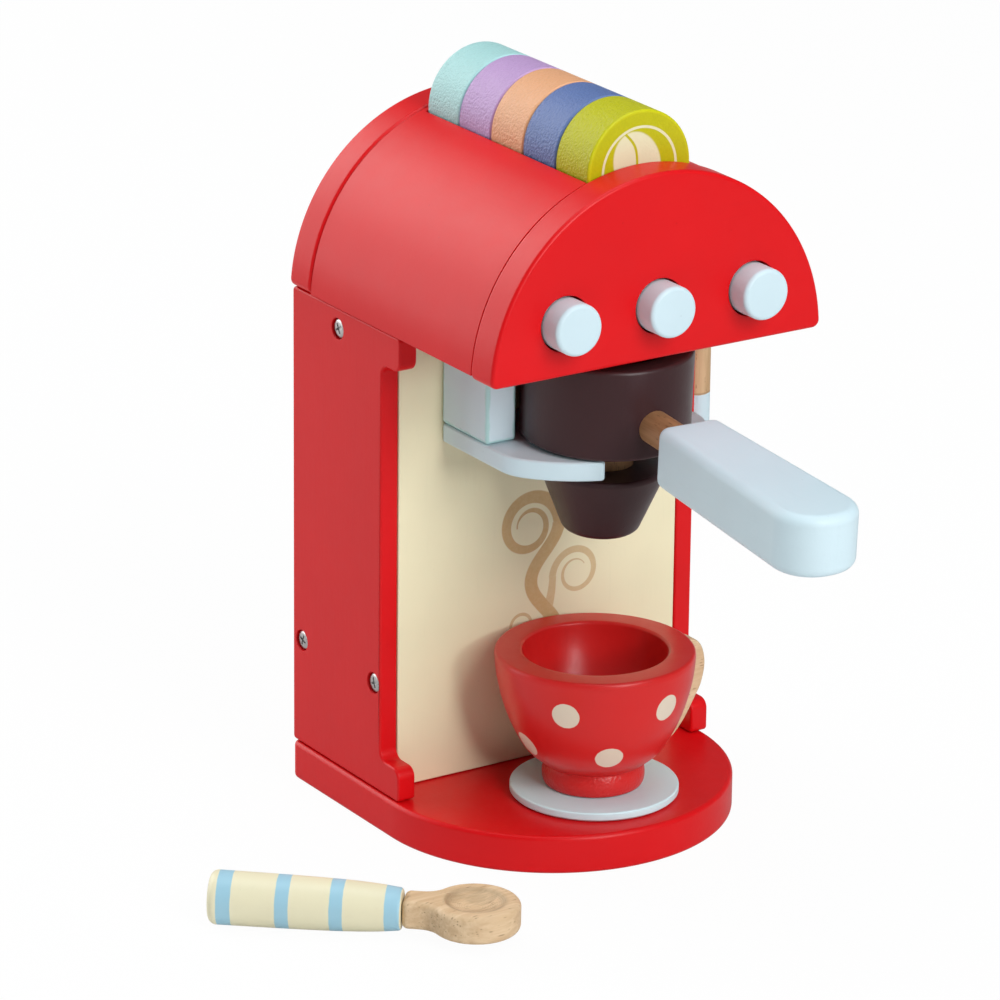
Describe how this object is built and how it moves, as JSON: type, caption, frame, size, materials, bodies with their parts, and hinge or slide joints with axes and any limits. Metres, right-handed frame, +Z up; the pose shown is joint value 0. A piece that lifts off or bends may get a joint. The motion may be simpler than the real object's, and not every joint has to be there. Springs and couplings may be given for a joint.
{
  "type": "toy coffee maker",
  "caption": "Painted wooden play coffee maker with arched hood, capsule row, push buttons, portafilter on a fork, cup with ear on a coaster, and a spoon beside it",
  "frame": {"origin": "centre of the underside of the base board, on the surface that the toy stands on", "axes": "+Z is up, -Y is the front with the buttons and the handle, +X is to the right as seen from the front"},
  "size_m": [0.2575, 0.2589, 0.2867],
  "materials": {
    "red_paint": "satin red paint on wood",
    "cream_paint": "satin cream paint on wood",
    "pale_blue_paint": "satin pale blue paint on wood",
    "brown_paint": "satin dark brown paint on wood",
    "beech": "bare sanded beech",
    "aqua_paint": "soft aqua paint on wood",
    "lilac_paint": "soft lilac paint on wood",
    "orange_paint": "soft orange paint on wood",
    "blue_paint": "soft blue paint on wood",
    "lime_paint": "soft lime paint on wood",
    "spoon_paint": "satin cream paint with pale blue bands",
    "screw_steel": "plated steel screws",
    "spring_steel": "drawn spring wire"
  },
  "bodies": {
    "machine": {"base": "red_paint", "side_panel_left": "red_paint", "side_panel_right": "red_paint", "back_panel": "red_paint", "top_board": "red_paint", "hood_back_plate": "red_paint", "hood_shell": "red_paint", "hood_front_plate": "red_paint", "hood_floor": "red_paint", "front_panel": "cream_paint", "bracket_block_left": "pale_blue_paint", "bracket_block_right": "pale_blue_paint", "fork_plate": "pale_blue_paint", "coaster": "pale_blue_paint", "trough_rail_left": "beech", "trough_rail_right": "beech", "trough_tray": "beech", "button_stop": "beech", "button_spring_left": "spring_steel", "button_spring_middle": "spring_steel", "button_spring_right": "spring_steel", "screw_left_top": "screw_steel", "screw_left_rear": "screw_steel", "screw_left_front": "screw_steel", "screw_right_top": "screw_steel", "screw_right_rear": "screw_steel", "screw_right_front": "screw_steel", "wand_screw": "screw_steel"},
    "button_left": {"button_left": "pale_blue_paint"},
    "button_middle": {"button_middle": "pale_blue_paint"},
    "button_right": {"button_right": "pale_blue_paint"},
    "capsule_aqua": {"capsule_aqua": "aqua_paint"},
    "capsule_lilac": {"capsule_lilac": "lilac_paint"},
    "capsule_orange": {"capsule_orange": "orange_paint"},
    "capsule_blue": {"capsule_blue": "blue_paint"},
    "capsule_lime": {"capsule_lime": "lime_paint"},
    "filter_carrier": {"filter_neck": "beech"},
    "portafilter": {"filter_holder": "brown_paint", "filter_spout": "brown_paint", "handle_dowel": "beech", "handle": "pale_blue_paint"},
    "cup": {"cup": "red_paint", "cup_ear": "beech"},
    "steam_wand": {"steam_wand": "beech"},
    "spoon": {"spoon_grip": "spoon_paint", "spoon_scoop": "beech"}
  },
  "joints": [
    {"name": "button_left_press", "type": "slide", "parent": "machine", "child": "button_left", "axis": [0, 1, 0], "range_m": [0, 0.006], "stiffness_N_per_m": 250, "deforming": ["button_spring_left"]},
    {"name": "button_middle_press", "type": "slide", "parent": "machine", "child": "button_middle", "axis": [0, 1, 0], "range_m": [0, 0.006], "stiffness_N_per_m": 250, "deforming": ["button_spring_middle"]},
    {"name": "button_right_press", "type": "slide", "parent": "machine", "child": "button_right", "axis": [0, 1, 0], "range_m": [0, 0.006], "stiffness_N_per_m": 250, "deforming": ["button_spring_right"]},
    {"name": "capsule_aqua_lift", "type": "slide", "parent": "machine", "child": "capsule_aqua", "axis": [0, 0, 1], "range_m": [0, 0.05]},
    {"name": "capsule_lilac_lift", "type": "slide", "parent": "machine", "child": "capsule_lilac", "axis": [0, 0, 1], "range_m": [0, 0.05]},
    {"name": "capsule_orange_lift", "type": "slide", "parent": "machine", "child": "capsule_orange", "axis": [0, 0, 1], "range_m": [0, 0.05]},
    {"name": "capsule_blue_lift", "type": "slide", "parent": "machine", "child": "capsule_blue", "axis": [0, 0, 1], "range_m": [0, 0.05]},
    {"name": "capsule_lime_lift", "type": "slide", "parent": "machine", "child": "capsule_lime", "axis": [0, 0, 1], "range_m": [0, 0.05]},
    {"name": "portafilter_slide", "type": "slide", "parent": "machine", "child": "filter_carrier", "axis": [0, -1, 0], "range_m": [0, 0.06]},
    {"name": "portafilter_turn", "type": "hinge", "parent": "filter_carrier", "child": "portafilter", "pos_m": [0, -0.03328, 0.1592], "axis": [0, -0.0506, 0.9987], "range_deg": [-60, 60]},
    {"name": "cup_lift", "type": "slide", "parent": "machine", "child": "cup", "axis": [0, 0, 1], "range_m": [0, 0.04]},
    {"name": "wand_swing", "type": "hinge", "parent": "machine", "child": "steam_wand", "pos_m": [0.077, 0.0195, 0.186], "axis": [1, 0, 0], "range_deg": [-60, 30]},
    {"name": "spoon_lift", "type": "slide", "parent": "machine", "child": "spoon", "axis": [0, 0, 1], "range_m": [0, 0.05]}
  ]
}
